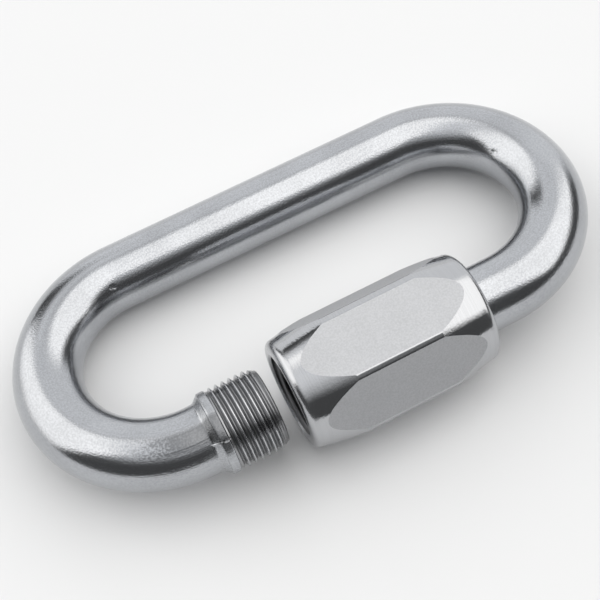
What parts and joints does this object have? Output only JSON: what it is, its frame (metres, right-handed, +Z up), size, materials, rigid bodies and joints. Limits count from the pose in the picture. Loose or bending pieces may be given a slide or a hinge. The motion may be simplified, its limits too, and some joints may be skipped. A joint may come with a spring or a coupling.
{
  "type": "chain quick link",
  "caption": "Long oval steel link with a threaded gap in one leg and a hexagonal sleeve that screws across the gap to close it, for joining chain or rope fittings.",
  "frame": {"origin": "middle of the bounding box in X and Y, on the plane that the link rests on", "axes": "+X along the two straight legs, from the free threaded end towards the end that carries the sleeve; +Y from the leg with the gap towards the plain leg; +Z up as it lies at rest"},
  "size_m": [0.089, 0.0462, 0.0175],
  "materials": {
    "rod_steel": "bright drawn stainless bar, tumbled to a soft polish",
    "sleeve_steel": "finely ground flats with brightly turned ends"
  },
  "bodies": {
    "rod": {"link_rod": "rod_steel"},
    "sleeve": {"hex_sleeve": "sleeve_steel"}
  },
  "joints": [
    {"name": "sleeve_travel", "type": "slide", "parent": "rod", "child": "sleeve", "axis": [1, 0, 0], "range_m": [-0.01, 0.009]}
  ]
}
